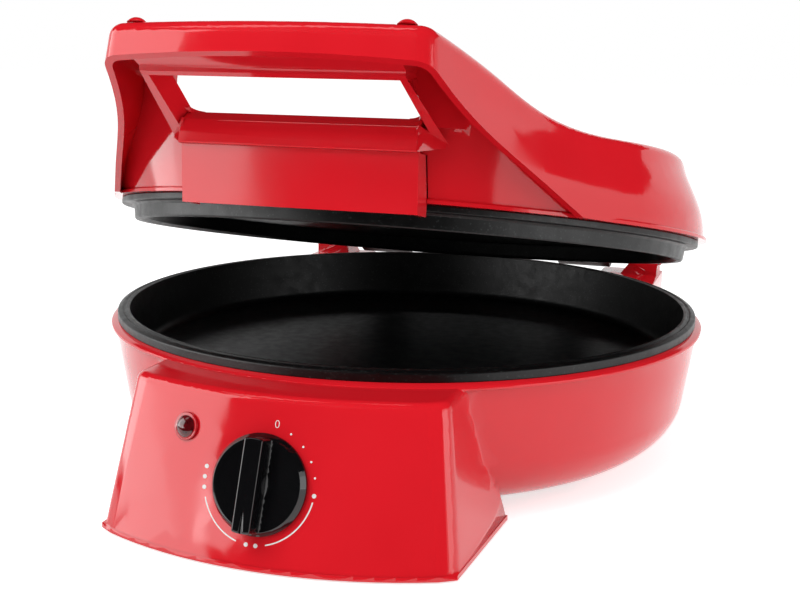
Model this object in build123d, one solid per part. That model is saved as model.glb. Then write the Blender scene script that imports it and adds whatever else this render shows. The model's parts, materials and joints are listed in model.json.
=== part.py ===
from build123d import *
import math
import os

# Electric pizza maker, in millimetres.
# Drawn with the table at z = 0 and the middle of the baking pan at x = y = 0. +Z is up, -Y is the front.
# The lid is drawn closed and then turned to the angle at which it stands open.

# Clearances and walls
run_gap = 0.05           # radial play of a shaft that turns
seat_gap = 0.02          # radial play of a part that is fixed in its hole
part_gap = 0.3           # space between neighbouring parts
wall = 2.8               # moulded housing
sheet = 0.8              # pressed aluminium
plate_wall = 2.5         # cast baking plates

# Base bowl
flange_radius = 165.0    # sets the overall width
flange_top_z = 74.0
flange_thick = 3.2
bowl_overhang = 2.1      # flange beyond the bowl
bowl_draft = 9.0         # degrees that the bowl leans outwards
bowl_corner = 30.0
bowl_lift = 8.0          # underside of the bowl above the table
cover_opening = 110.0
cover_overlap = 7.4      # cover beyond its opening
cover_thick = 1.6
cover_screw_radius = 1.5

# Baking pan
pan_rim_z = 79.5
pan_rim_step = 3.4       # rim of the pan inside the flange
pan_rim_width = 6.4
pan_lean = 4.7           # mouth beyond the floor
pan_seat_width = 4.0
pan_depth = 29.0
pan_corner = 5.0
boss_inset = 24.5        # bosses inside the edge of the pan's floor
boss_radius = 6.5
pan_screw_radius = 2.0
reflector_inset = 10.5
reflector_drop = 12.0

# Control box under the front of the bowl
box_lift = 1.0
box_top_z = 72.4
box_front_low = 209.6
box_front_high = 187.8
box_arc_low = 193.6
box_arc_high = 206.0
box_half_low = 78.0
box_half_high = 66.5
box_side_low = 85.1
box_side_high = 75.5
box_bevel_low = 188.5
box_bevel_high = 171.5
box_back_low = 116.0
box_back_high = 136.0
box_back_side_low = 89.0
box_back_side_high = 75.5
box_lip = 0.3
box_side_round = 8.0
box_crown_round = 4.5
box_lip_height = 2.2
box_post_x = 77.0
box_post_radius = 4.0
box_post_height = 18.0

# Cord inlet in the back of the bowl
gland_radius = 5.5
gland_x = -40.0
gland_z = 42.0

# Feet
pad_radius = 7.5
pad_height = 2.6
rear_foot_ring = 131.0
rear_foot_angle = 64.0
rear_foot_radius = 9.5
front_pad_x = 62.0
front_pad_y = 176.0

# Controls on the front panel
knob_x = -0.5
knob_z = 36.0
knob_skirt_radius = 22.0
knob_face_radius = 20.2
knob_skirt_height = 3.9
knob_height = 13.5
knob_grip_width = 8.4
knob_lift = 0.5          # skirt off the panel
knob_hub_radius = 6.0
shaft_radius = 3.0
shaft_flat = 0.9
shaft_reach = 11.5       # end of the shaft outside the panel
bushing_radius = 5.0
pointer_angle = 182.0    # clockwise from the top, where the knob stands
lamp_x = -40.1
lamp_z = 54.7
lamp_bezel_radius = 6.3
lamp_lens_radius = 4.9
lamp_tube_radius = 2.6
lamp_tube_length = 15.0
thermostat_size = (30.0, 26.0, 20.0)
thermostat_stand = 3.0   # behind the inside of the panel
thermostat_screw_x = 14.0
screw_seat = 0.6         # flat seat sunk in the panel

# Hinge
hinge_y = 176.0
hinge_z = 84.0
pin_radius = 4.0
barrel_radius = 10.0
barrel_end = 89.5
barrel_start = 54.0
arm_inner = 56.0
arm_outer = 80.0
arm_low_z = 89.0
arm_high_z = 98.0
arm_start_y = 120.0
arm_screw_steps = (7.0, 15.5)    # screws behind the front of the arm
arm_screw_radius = 1.75
bush_wall = 1.2
bush_length = 14.0
tower_inner = 104.0
tower_outer = 122.0
tower_radius = 11.0
tower_foot_inner = 84.0
tower_foot_outer = 124.0
tower_foot_z = 72.0
tower_foot_drop = 38.0
tower_foot_back = 11.0   # from the hinge axis to the back of the foot
cap_radius = 6.5
cap_thick = 2.2
open_angle = 12.0        # the lid stands this far open

# Lid, drawn closed
lid_low_z = 85.5
lid_lip_height = 2.2
lip_slope = 0.7
# (height, radius) of the round part of the lid
lid_rounds = [(85.5, 163.5), (100.0, 161.2), (111.0, 156.6), (121.0, 151.8), (132.0, 149.2), (156.0, 147.0)]
# (y, z) along the top of the lid, from the handle bar to the back
lid_ridge = [(-232.0, 152.6), (-216.0, 151.3), (-195.0, 148.6), (-157.0, 140.6), (-124.0, 131.2),
             (-98.0, 127.6), (-60.0, 128.2), (10.0, 130.5), (90.0, 130.4), (175.0, 127.5)]
lid_edge_round = 6.0
bar_half = 72.7
bar_reach = 217.0
bar_bow = 4.5
bar_z = 135.4
bar_draft = 0.10
bar_corner = 9.0
wing_angle = 31.0        # where the wings leave the round of the lid
crease_slope = 0.517     # slope of the cut under the handle bar
front_step = 2.0         # wall behind the handle inside the lip
front_lean = 0.32        # slope of the wall behind the handle
well_half = 54.0         # finger well behind the handle bar
well_back_half = 102.0
well_front = 190.6
well_knee = 184.5        # from here it gets wider
well_back = 104.0
well_low_z = 117.0
well_high_z = 127.2

# Handle insert
frame_slope = 0.447
frame_top = (-204.9, 130.2)      # (y, z) of its upper front edge
frame_deep = 7.9
frame_long = 47.8
frame_top_half = 59.8
frame_low_half = 66.2
hole_top_half = 56.6
hole_low_half = 60.5
hole_back_top_half = 52.4
hole_back_low_half = 55.6
hole_back_top = 8.0
hole_back_low = 41.0
hole_corner = 7.0                # size of the hole's rounded lower corners
insert_wall = 2.4
# (y, z) outlines of the rail over the grip hole and of the ledge over the plate
rail_outline = [(-204.9, 130.2), (-207.4, 131.5), (-208.2, 133.8), (-226.0, 139.6), (-226.0, 142.0),
                (-206.0, 138.0), (-193.8, 138.0), (-193.8, 133.7), (-191.3, 132.7)]
ledge_outline = [(-175.4, 105.4), (-174.8, 110.8), (-172.0, 117.0), (-167.4, 120.5), (-164.8, 120.6),
                 (-164.8, 118.0), (-167.8, 117.6), (-169.8, 115.6), (-172.2, 110.2), (-172.4, 107.8),
                 (-169.5, 107.8), (-169.5, 105.4)]
ledge_end_rise = 3.3     # the underside of the ledge rises towards its ends
insert_half = 56.2
plate_low = (-166.6, 79.4)
plate_high = (-171.9, 105.7)
strip_back_low = -153.9
strip_back_high = -160.9
floor_start = -164.5             # front edge of the floor of the finger well
tab_x = 40.0
tab_y = -140.0
tab_z = 94.2
rest_foot_x = 60.3
rest_foot_y = -211.5
rest_foot_radius = 4.5
rest_foot_z = 153.4

# Upper plate
upper_flange_step = 4.5  # flange of the upper plate inside the lip
upper_flange_low_z = 82.2
upper_ring_step = 2.2    # ring inside the mouth of the pan
upper_ring_z = 74.5
upper_ring_width = 4.2
upper_face_z = 84.0
upper_boss_ring = 112.0
upper_boss_height = 10.4
upper_reflector_radius = 125.0

# Heating elements
element_radius = 100.0
element_tube = 3.25
element_gap = 0.25
element_leg = 26.0
element_leg_x = 14.0
element_bend = 9.0
clamp_width = 9.0
clamp_reach = 12.0
clamp_wall = 1.5

# Wiring and what it joins
terminal_place = (-40.0, 113.0)
terminal_z = 12.0
terminal_size = (34.0, 16.0, 9.0)
terminal_steps = (-11, 0, 11)
fuse_place = (54.0, -53.0)
fuse_radius = 2.6
lead_radius = 1.3
lead_x = 49.0            # lead to the upper element, beside the right-hand hinge arm
lead_z = 93.0

# Worked out from the sizes above
bowl_top_radius = flange_radius - bowl_overhang
pan_rim_radius = flange_radius - pan_rim_step
pan_mouth_radius = pan_rim_radius - pan_rim_width
pan_floor_radius = pan_mouth_radius - pan_lean
pan_seat_radius = pan_rim_radius - pan_seat_width
boss_ring = pan_floor_radius - boss_inset
reflector_radius = pan_floor_radius - reflector_inset
cover_radius = cover_opening + cover_overlap
cover_screw_ring = (cover_opening + cover_radius) / 2
lid_lip_radius = flange_radius
front_radius = lid_lip_radius - front_step
upper_flange_radius = lid_lip_radius - upper_flange_step
upper_ring_radius = pan_mouth_radius - upper_ring_step
insert_gap_half = well_half + wall + part_gap
flange_low_z = flange_top_z - flange_thick
pan_floor_z = pan_rim_z - pan_depth
pan_under_z = pan_floor_z - plate_wall
reflector_z = pan_under_z - reflector_drop
upper_back_z = upper_face_z + plate_wall
upper_reflector_z = upper_back_z + upper_boss_height
cover_z = bowl_lift
box_cover_z = box_lift + 1.5
post_angles = [30, 150, 210, 330]
cover_angles = [45, 135, 225, 315]
upper_angles = [45, 135, 225, 315]
clamp_angles = [20, 160, 250]
lid_turn = Pos(0, hinge_y, hinge_z) * Rot(-open_angle, 0, 0) * Pos(0, -hinge_y, -hinge_z)


def polygon(points, radii=None):
    """Closed outline in the XZ plane, with a rounding at each corner."""
    if radii:
        outline = FilletPolyline(*points, radius=radii, close=True)
    else:
        outline = Polyline(*points, close=True)
    return Plane.XZ * make_face(outline.edges())


def turned(points, radii=None):
    """Solid turned about the vertical axis from (radius, height) points."""
    return revolve(polygon(points, radii), axis=Axis.Z)


def rod(radius, start, end):
    """Round bar between two points."""
    way = Vector(*end) - Vector(*start)
    upright = (Align.CENTER, Align.CENTER, Align.MIN)
    return Plane(origin=start, z_dir=way) * Cylinder(radius, way.length, align=upright)


def tube(radius, bore, start, end):
    return rod(radius, start, end) - rod(bore, start, end)


def block(low, high):
    """Box from its lowest to its highest corner."""
    size = [b - a for a, b in zip(low, high)]
    return Pos(*low) * Box(*size, align=(Align.MIN, Align.MIN, Align.MIN))


def slab(outline, x_low, x_high):
    """A (y, z) outline given a thickness along X."""
    face = Plane.YZ * make_face(Polyline(*outline, close=True).edges())
    return Pos(x_low, 0, 0) * extrude(face, x_high - x_low, dir=(1, 0, 0))


def both_sides(shape):
    return shape + mirror(shape, about=Plane.YZ)


def around(radius, angles):
    """Points on a circle about the vertical axis."""
    turns = [math.radians(angle) for angle in angles]
    return [(radius * math.cos(turn), radius * math.sin(turn)) for turn in turns]


def screw(radius, length, head_radius, head_height):
    """Pan-head screw that points up, its head under the origin."""
    body = rod(radius, (0, 0, 0), (0, 0, length))
    head = rod(head_radius, (0, 0, -head_height), (0, 0, 0))
    slot = Pos(0, 0, -head_height) * Box(1.3 * head_radius, 0.25 * head_radius, head_height)
    cross = Pos(0, 0, -head_height) * Box(0.25 * head_radius, 1.3 * head_radius, head_height)
    return body + head - slot - cross


def group(shapes):
    """Several separate solids kept in one node."""
    solids = [solid for shape in shapes for solid in shape.solids()]
    return Compound(children=solids)


# Base shell

def bowl(inset, floor_z):
    lean = math.tan(math.radians(bowl_draft))
    top_radius = bowl_top_radius - inset
    low_radius = top_radius - lean * (flange_low_z - floor_z)
    outline = [(0, floor_z), (low_radius, floor_z), (top_radius, flange_low_z), (0, flange_low_z)]
    return turned(outline, [0, bowl_corner - inset, 0, 0])


def flange():
    shoulder = flange_top_z - 0.45 * flange_thick
    outline = [(0, flange_low_z), (flange_radius, flange_low_z), (flange_radius, shoulder),
               (pan_rim_radius + 0.6, flange_top_z), (0, flange_top_z)]
    return turned(outline, [0, 0.7, 0.7, 0, 0])


def box_slice(z, half, arc, front, side, bevel, back_side, back):
    """Level outline of the control box, with its bowed front."""
    corner_y = arc - front - math.sqrt(arc ** 2 - half ** 2)
    edges = [
        ThreePointArc((-half, corner_y), (0, -front), (half, corner_y)),
        Line((half, corner_y), (side, -bevel)),
        Line((side, -bevel), (back_side, -back)),
        Line((back_side, -back), (-back_side, -back)),
        Line((-back_side, -back), (-side, -bevel)),
        Line((-side, -bevel), (-half, corner_y)),
    ]
    return Pos(0, 0, z) * make_face(edges)


def box_low(z, inset):
    return box_slice(z, box_half_low - inset, box_arc_low - inset, box_front_low - inset,
                     box_side_low - inset, box_bevel_low - inset, box_back_side_low - inset,
                     box_back_low + inset)


def box_high(z, inset):
    return box_slice(z, box_half_high - inset, box_arc_high - inset, box_front_high - inset,
                     box_side_high - inset, box_bevel_high - inset, box_back_side_high - inset,
                     box_back_high + inset)


def control_box():
    body = loft([box_low(box_lift, 0), box_high(box_top_z, 0)], ruled=True)
    front = [edge for edge in body.edges() if edge.center().Y < -150]
    corners = [edge for edge in front if box_lift + 5 < edge.center().Z < box_top_z - 5]
    body = fillet(corners, box_side_round)
    crown = [edge for edge in body.edges() if edge.center().Z > box_top_z - 0.1 and edge.center().Y < -150]
    body = fillet(crown, box_crown_round)
    lip = extrude(box_low(box_lift, -box_lip), box_lip_height)
    return body + lip


def control_box_inside():
    body = loft([box_low(box_lift, wall), box_high(box_top_z, wall)], ruled=True)
    body -= block((-200, -250, box_top_z - wall), (200, 0, box_top_z + 1))
    return body + extrude(box_low(0, wall), box_cover_z + cover_thick)


def panel_plane(x, z):
    """Plane that touches the front panel at (x, z), its Z axis pointing out."""
    body = loft([box_low(box_lift, 0), box_high(box_top_z, 0)], ruled=True)
    probe = Axis((x, -2 * box_front_low, z), (0, 1, 0))
    hits = body.find_intersection_points(probe)
    point, normal = min(hits, key=lambda hit: hit[0].Y)
    side = Vector(0, 0, 1).cross(normal)
    return Plane(origin=point, x_dir=side, z_dir=normal)


knob_place = panel_plane(knob_x, knob_z)
lamp_place = panel_plane(lamp_x, lamp_z)


def hinge_tower():
    """Right-hand hinge tower with its hollow foot."""
    back = hinge_y + tower_foot_back
    low = tower_foot_z - tower_foot_drop
    start = hinge_y - 76
    foot = slab([(start, tower_foot_z), (back, tower_foot_z), (back, tower_foot_z - 14),
                 (back - 30, low), (start, low)], tower_foot_inner, tower_foot_outer)
    foot = fillet(foot.edges().filter_by(Axis.Z).group_by(Axis.Y)[-1], 5)
    post = block((tower_inner, hinge_y - tower_radius, tower_foot_z - 1),
                 (tower_outer, hinge_y + tower_radius, hinge_z))
    ear = rod(tower_radius, (tower_inner, hinge_y, hinge_z), (tower_outer, hinge_y, hinge_z))
    brace_foot = tower_inner - 6
    brace = Plane.XZ * make_face(Polyline((brace_foot, tower_foot_z), (tower_inner, tower_foot_z),
                                          (tower_inner, tower_foot_z + 8), close=True).edges())
    brace = Pos(0, hinge_y + tower_radius, 0) * extrude(brace, 2 * tower_radius, dir=(0, -1, 0))
    return foot + post + ear + brace


def hinge_tower_inside():
    back = hinge_y + tower_foot_back - wall
    low = tower_foot_z - tower_foot_drop + wall
    start = hinge_y - 76
    top = tower_foot_z - wall
    return slab([(start, top), (back, top), (back, top - 10), (back - 28, low), (start, low)],
                tower_foot_inner + wall, tower_foot_outer - wall)


def rear_foot_places():
    return around(rear_foot_ring, [rear_foot_angle, 180 - rear_foot_angle])


def front_pad_places():
    return [(front_pad_x, -front_pad_y), (-front_pad_x, -front_pad_y)]


def box_post_places():
    front = box_bevel_low - 12
    back = box_back_low + 10
    return [(side * box_post_x, -y) for side in (-1, 1) for y in (front, back)]


def base_shell():
    body = bowl(0, bowl_lift) + flange() + control_box() + both_sides(hinge_tower())
    for x, y in rear_foot_places():
        body += rod(rear_foot_radius, (x, y, 1.2), (x, y, bowl_lift + 16))
    inside = bowl(wall, bowl_lift + wall) + control_box_inside() + both_sides(hinge_tower_inside())
    inside += rod(pan_seat_radius, (0, 0, flange_low_z - 0.1), (0, 0, flange_top_z + 1))
    body -= inside
    # Posts inside: for the pan, for the round cover and for the cover of the control box
    floor_z = bowl_lift + cover_thick
    for x, y in around(boss_ring, post_angles):
        body += rod(boss_radius, (x, y, bowl_lift), (x, y, reflector_z - sheet))
    for x, y in around(cover_screw_ring, cover_angles):
        body += rod(3.6, (x, y, floor_z), (x, y, floor_z + 9))
    for x, y in box_post_places():
        body += rod(box_post_radius, (x, y, box_cover_z + cover_thick),
                    (x, y, box_cover_z + box_post_height))
    # Openings
    body -= rod(cover_opening, (0, 0, 0), (0, 0, floor_z + 1.5))
    rebate = rod(cover_radius + part_gap, (0, 0, 0), (0, 0, floor_z))
    body -= rebate & block((-200, -box_back_low + 2, 0), (200, 200, floor_z))
    for x, y in around(boss_ring, post_angles):
        body -= rod(boss_radius - 2.0, (x, y, bowl_lift - 1), (x, y, reflector_z - 8))
        body -= rod(pan_screw_radius + seat_gap, (x, y, bowl_lift), (x, y, reflector_z))
    for x, y in around(cover_screw_ring, cover_angles):
        body -= rod(cover_screw_radius + seat_gap, (x, y, floor_z - 1), (x, y, floor_z + 7))
    for x, y in box_post_places():
        body -= rod(cover_screw_radius + seat_gap, (x, y, box_lift), (x, y, box_cover_z + 12))
    for x, y in rear_foot_places():
        body -= rod(pad_radius + seat_gap, (x, y, 0), (x, y, pad_height))
    body -= knob_place * rod(bushing_radius + part_gap, (0, 0, -2 * wall), (0, 0, wall))
    for x in (-thermostat_screw_x, thermostat_screw_x):
        body -= knob_place * rod(cover_screw_radius + seat_gap, (x, 0, -3 * wall), (x, 0, wall))
        body -= knob_place * rod(3.0, (x, 0, -screw_seat), (x, 0, wall))
    body -= lamp_place * rod(lamp_lens_radius - 0.4, (0, 0, -2 * wall), (0, 0, wall))
    hinge_line = ((tower_inner - 1, hinge_y, hinge_z), (tower_outer + 1, hinge_y, hinge_z))
    body -= both_sides(rod(pin_radius + seat_gap, *hinge_line))
    body -= gland_place() * rod(gland_radius + seat_gap, (0, 0, -2 * wall), (0, 0, 2 * wall))
    return body


# Covers, feet and inlet

def gland_place():
    """Frame on the back of the bowl at the cord inlet, its Z axis pointing out of the wall."""
    lean = math.radians(bowl_draft)
    radius = bowl_top_radius - math.tan(lean) * (flange_low_z - gland_z)
    angle = math.acos(gland_x / radius)
    way = Vector(math.cos(angle), math.sin(angle), 0)
    out = way * math.cos(lean) - Vector(0, 0, math.sin(lean))
    return Plane(origin=way * radius + Vector(0, 0, gland_z), z_dir=out)


def cord_gland():
    low = -wall - 4.0
    barrel = rod(gland_radius, (0, 0, low), (0, 0, 1))
    collar = rod(gland_radius + 2.0, (0, 0, part_gap), (0, 0, 5))
    collar = fillet(collar.edges().group_by(Axis.Z)[-1], 1)
    nut = rod(gland_radius + 2.0, (0, 0, low), (0, 0, -wall - part_gap))
    bore = rod(gland_radius - 2.0, (0, 0, low - 1), (0, 0, 6))
    return gland_place() * (barrel + collar + nut - bore)


def bottom_cover():
    disc = rod(cover_radius, (0, 0, cover_z), (0, 0, cover_z + cover_thick))
    disc &= block((-200, -box_back_low + 2 + part_gap, 0), (200, 200, 2 * bowl_lift))
    for x, y in around(cover_screw_ring, cover_angles):
        disc -= rod(cover_screw_radius + seat_gap, (x, y, 0), (x, y, 2 * bowl_lift))
    for row in range(-3, 4):
        slot = SlotOverall(44, 3.0)
        disc -= Pos(0, 9.0 * row, cover_z - 1) * extrude(slot, 2 * cover_thick + 1)
    return disc


def bottom_cover_screws():
    places = around(cover_screw_ring, cover_angles)
    return group([Pos(x, y, cover_z) * screw(cover_screw_radius, 8, 2.9, 1.5) for x, y in places])


def control_box_cover():
    plate = extrude(box_low(box_cover_z, wall + part_gap), cover_thick)
    for x, y in box_post_places():
        plate -= rod(cover_screw_radius + seat_gap, (x, y, 0), (x, y, bowl_lift))
    for x, y in front_pad_places():
        plate -= rod(2.0, (x, y, 0), (x, y, bowl_lift))
    return plate


def control_box_screws():
    fastener = screw(cover_screw_radius, 10, 2.6, 1.2)
    return group([Pos(x, y, box_cover_z) * fastener for x, y in box_post_places()])


def front_pads():
    """Rubber pads pressed into the cover of the control box."""
    pads = []
    for x, y in front_pad_places():
        pad = rod(pad_radius, (x, y, 0), (x, y, box_cover_z))
        pad = fillet(pad.edges().group_by(Axis.Z)[0], 0.6)
        plug = rod(2.0 - seat_gap, (x, y, box_cover_z - 0.5), (x, y, box_cover_z + cover_thick + 1))
        pads.append(pad + plug)
    return group(pads)


def rear_pads():
    pads = []
    for x, y in rear_foot_places():
        pad = rod(pad_radius, (x, y, 0), (x, y, pad_height))
        pads.append(fillet(pad.edges().group_by(Axis.Z)[0], 0.6))
    return group(pads)


# Baking pan and what hangs under it

def baking_pan():
    lip_z = flange_top_z
    outline = [
        (0, pan_floor_z), (pan_floor_radius, pan_floor_z), (pan_mouth_radius, pan_rim_z - 0.4),
        (pan_mouth_radius + 1.6, pan_rim_z), (pan_mouth_radius + 2.8, pan_rim_z - 1.3),
        (pan_mouth_radius + 4.0, pan_rim_z - 0.3), (pan_rim_radius, pan_rim_z - 1.2),
        (pan_rim_radius, lip_z), (pan_seat_radius - part_gap, lip_z),
        (pan_floor_radius + 2.0, pan_under_z), (0, pan_under_z),
    ]
    body = turned(outline, [0, pan_corner, 0.4, 0.5, 0.6, 0.6, 0.9, 0.5, 0, pan_corner + 2, 0])
    for x, y in around(boss_ring, post_angles):
        body += rod(boss_radius - 1, (x, y, reflector_z), (x, y, pan_under_z + 0.1))
        body -= rod(pan_screw_radius + seat_gap, (x, y, reflector_z - 1), (x, y, pan_under_z - 1.5))
    return body


def pan_screws():
    start = reflector_z - 8
    length = pan_under_z - 2.5 - start
    places = around(boss_ring, post_angles)
    return group([Pos(x, y, start) * screw(pan_screw_radius, length, 4.0, 2.4) for x, y in places])


def lower_reflector():
    rim = 4.0
    outline = [(0, reflector_z - sheet), (reflector_radius, reflector_z - sheet),
               (reflector_radius + rim, reflector_z - sheet + rim),
               (reflector_radius + rim, reflector_z + rim), (reflector_radius, reflector_z),
               (0, reflector_z)]
    disc = turned(outline)
    for x, y in around(boss_ring, post_angles):
        disc -= rod(pan_screw_radius + seat_gap, (x, y, 0), (x, y, 2 * reflector_z))
    return disc


def heating_element(z, turn):
    """Tubular ring with two legs, under or over a plate."""
    half_gap = math.degrees(math.asin(element_leg_x / element_radius))
    ring = CenterArc((0, 0), element_radius, -90 + half_gap, 360 - 2 * half_gap)
    start = ring @ 0
    end = ring @ 1
    legs = [Line(start, (start.X, start.Y - element_leg)), Line(end, (end.X, end.Y - element_leg))]
    path = Wire([legs[0].edge(), ring.edge(), legs[1].edge()])
    corners = [v for v in path.vertices() if abs(v.Y - start.Y) < 0.01]
    path = path.fillet_2d(element_bend, corners)
    tip = path.position_at(0)
    profile = Plane(origin=tip, z_dir=path.tangent_at(0)) * Circle(element_tube)
    body = sweep(profile, path=path)
    return Rot(0, 0, turn) * Pos(0, 0, z) * body


def lower_heating_element():
    return heating_element(pan_under_z - element_gap - element_tube, 0)


def element_clamp(angle, z, up):
    """Saddle that holds the ring element against a plate at height z."""
    height = 2 * element_tube + element_gap + clamp_wall
    hanging = (Align.CENTER, Align.CENTER, Align.MAX)
    channel_half = element_tube + 0.4
    saddle = Box(2 * (channel_half + clamp_wall), clamp_width, height, align=hanging)
    channel = Box(2 * channel_half, clamp_width + 1, height - clamp_wall, align=hanging)
    feet = Box(2 * (clamp_reach + element_tube), clamp_width, clamp_wall, align=hanging)
    strap = saddle + feet - channel
    turn = Rot(0, 0, angle) * Pos(element_radius, 0, 0)
    if up:
        turn = turn * Rot(180, 0, 0)
    return Pos(0, 0, z) * turn * strap


def lower_element_clamps():
    return group([element_clamp(angle, pan_under_z, False) for angle in clamp_angles])


# Controls

def thermostat_body():
    """Switch housing behind the panel, with the bushing that the shaft turns in."""
    wide, tall, deep = thermostat_size
    back = wall + thermostat_stand
    case = Pos(0, 0, -back - deep / 2) * Box(wide, tall, deep)
    case = fillet(case.edges().filter_by(Axis.Z), 2)
    bushing = rod(bushing_radius, (0, 0, -back - 1), (0, 0, -0.5))
    body = case + bushing
    for x in (-thermostat_screw_x, thermostat_screw_x):
        body += rod(3.0, (x, 0, -back - 1), (x, 0, -wall - screw_seat))
        body += rod(3.0, (x, 0, -back - 8), (x, 0, -back - 1))
        body -= rod(cover_screw_radius + seat_gap, (x, 0, -back - 6), (x, 0, 0))
    body -= rod(shaft_radius + run_gap, (0, 0, -back - 8), (0, 0, 1))
    return knob_place * body


def thermostat_screws():
    turned_over = Rot(180, 0, 0)
    fastener = turned_over * screw(cover_screw_radius, 9.5, 2.6, 1.1)
    sides = (-thermostat_screw_x, thermostat_screw_x)
    return group([knob_place * Pos(x, 0, -screw_seat) * fastener for x in sides])


def thermostat_shaft():
    start = -wall - thermostat_stand - 7.5
    shaft = rod(shaft_radius, (0, 0, start), (0, 0, shaft_reach))
    flat = Pos(shaft_radius + shaft_radius - shaft_flat, 0, shaft_reach)
    shaft -= flat * Box(2 * shaft_radius, 4 * shaft_radius, 2 * (shaft_reach - knob_lift - 1))
    return knob_place * (Rot(0, 0, -pointer_angle) * shaft)


def control_knob():
    """Skirted knob with a raised grip that ends in a pointer."""
    low = knob_lift
    face = low + knob_skirt_height
    high = knob_lift + knob_height
    outline = [(0, low), (knob_skirt_radius, low), (knob_skirt_radius, low + 1.2),
               (knob_face_radius, face), (knob_face_radius - 1.0, face), (0, face - 0.8)]
    skirt = turned(outline, [0, 0, 0.4, 0.4, 0.2, 0])
    grip = rod(knob_face_radius, (0, 0, low), (0, 0, high))
    grip = fillet(grip.edges().group_by(Axis.Z)[-1], 1.2)
    grip &= Pos(0, 0, high / 2 + low / 2) * Box(knob_grip_width, 3 * knob_face_radius, high - low)
    top = grip.faces().sort_by(Axis.Z)[-1]
    grip = fillet([edge for edge in top.edges() if edge.length > knob_face_radius], 0.8)
    hollow = turned([(knob_hub_radius, low - 1), (knob_skirt_radius - 2, low - 1),
                     (knob_face_radius - 2, face - 2.2), (knob_hub_radius, face - 2.2)])
    core = rod(knob_face_radius - 2, (0, 0, low), (0, 0, high - 2))
    core &= Pos(0, 0, high / 2) * Box(knob_grip_width - 3, 3 * knob_face_radius, 2 * high)
    core -= rod(knob_hub_radius - 1.0, (0, 0, 0), (0, 0, high))
    pointer = Pos(0, knob_face_radius - 4.5, high) * Box(1.1, 9.0, 1.2)
    bore = rod(shaft_radius + seat_gap, (0, 0, 0), (0, 0, shaft_reach + 0.2))
    key = Pos(shaft_radius + shaft_radius - shaft_flat + seat_gap, 0, 0)
    bore -= key * Box(2 * shaft_radius, 4 * shaft_radius, 3 * shaft_reach)
    bore += rod(shaft_radius + seat_gap, (0, 0, 0), (0, 0, low + 1))
    knob = skirt + grip - hollow - core - pointer - bore
    return knob_place * (Rot(0, 0, -pointer_angle) * knob)


def indicator_lens():
    bezel = rod(lamp_bezel_radius, (0, 0, 0.25), (0, 0, 1.5))
    bezel = fillet(bezel.edges().group_by(Axis.Z)[-1], 0.6)
    dome_height = 2.4
    sphere_radius = (lamp_lens_radius ** 2 + dome_height ** 2) / (2 * dome_height)
    dome = Pos(0, 0, 1.5 + dome_height - sphere_radius) * Sphere(sphere_radius)
    dome &= rod(lamp_lens_radius, (0, 0, 1.0), (0, 0, 9))
    stem = rod(lamp_lens_radius - 0.6, (0, 0, -8), (0, 0, 1))
    bore = rod(lamp_tube_radius + 0.2, (0, 0, -9), (0, 0, -1.5))
    return lamp_place * (bezel + dome + stem - bore)


def indicator_lamp():
    glass = rod(lamp_tube_radius, (0, 0, -1.8 - lamp_tube_length), (0, 0, -1.8))
    glass = fillet(glass.edges().group_by(Axis.Z)[-1], 1.5)
    return lamp_place * glass


def lamp_holder():
    collar = tube(lamp_lens_radius + 1.6, lamp_lens_radius - 0.6 + seat_gap, (0, 0, -8), (0, 0, -wall - 0.3))
    sleeve = tube(lamp_lens_radius + 1.6, lamp_tube_radius + seat_gap, (0, 0, -13), (0, 0, -8))
    return lamp_place * (collar + sleeve)


def thermostat_sensor():
    """Bulb under the pan, with the fine tube that leads to the switch."""
    bulb_radius = 2.2
    tube_radius = 0.8
    bulb_z = pan_under_z - bulb_radius - element_gap
    deep = wall + thermostat_stand + thermostat_size[2]
    start = knob_place.from_local_coords(Vector(0, 4, -deep - 0.2))
    turn = (knob_x, start.Y + 10, bulb_z)
    path = FilletPolyline((start.X, start.Y, start.Z), (knob_x, start.Y + 5, start.Z), turn,
                          (knob_x, -84, bulb_z), radius=4)
    line = sweep(Plane(origin=path @ 0, z_dir=path % 0) * Circle(tube_radius), path=path)
    bulb = rod(bulb_radius, (knob_x, -86, bulb_z), (knob_x, -40, bulb_z))
    bulb = fillet(bulb.edges().group_by(Axis.Y)[-1], 1.5)
    return line + bulb


def lead(points, radius=lead_radius, bend=8):
    """Insulated wire through some points."""
    path = FilletPolyline(*points, radius=bend)
    return sweep(Plane(origin=path @ 0, z_dir=path % 0) * Circle(radius), path=path)


def terminal_block():
    x, y = terminal_place
    body = Pos(x, y, terminal_z) * Box(*terminal_size, align=(Align.CENTER, Align.CENTER, Align.MIN))
    for step in terminal_steps:
        tower = rod(4.4, (x + step, y - 2.5, terminal_z + 8), (x + step, y - 2.5, terminal_z + 13))
        body += tower - rod(2.4, (x + step, y - 2.5, terminal_z + 10), (x + step, y - 2.5, terminal_z + 14))
        body -= rod(1.8, (x + step, y - 10, terminal_z + 4.5), (x + step, y + 10, terminal_z + 4.5))
    return body


def terminal_screws():
    x, y = terminal_place
    heads = []
    for step in terminal_steps:
        head = rod(2.2, (x + step, y - 2.5, terminal_z + 10), (x + step, y - 2.5, terminal_z + 12))
        heads.append(head - Pos(x + step, y - 2.5, terminal_z + 12) * Box(6, 0.7, 1.2))
    return group(heads)


def thermal_fuse():
    """Safety fuse clipped to the underside of the pan."""
    x, y = fuse_place
    z = pan_under_z - element_gap - fuse_radius
    can = rod(fuse_radius, (x, y - 7, z), (x, y + 7, z))
    ends = rod(0.8, (x, y - 15, z), (x, y + 15, z))
    return can + ends


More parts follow.
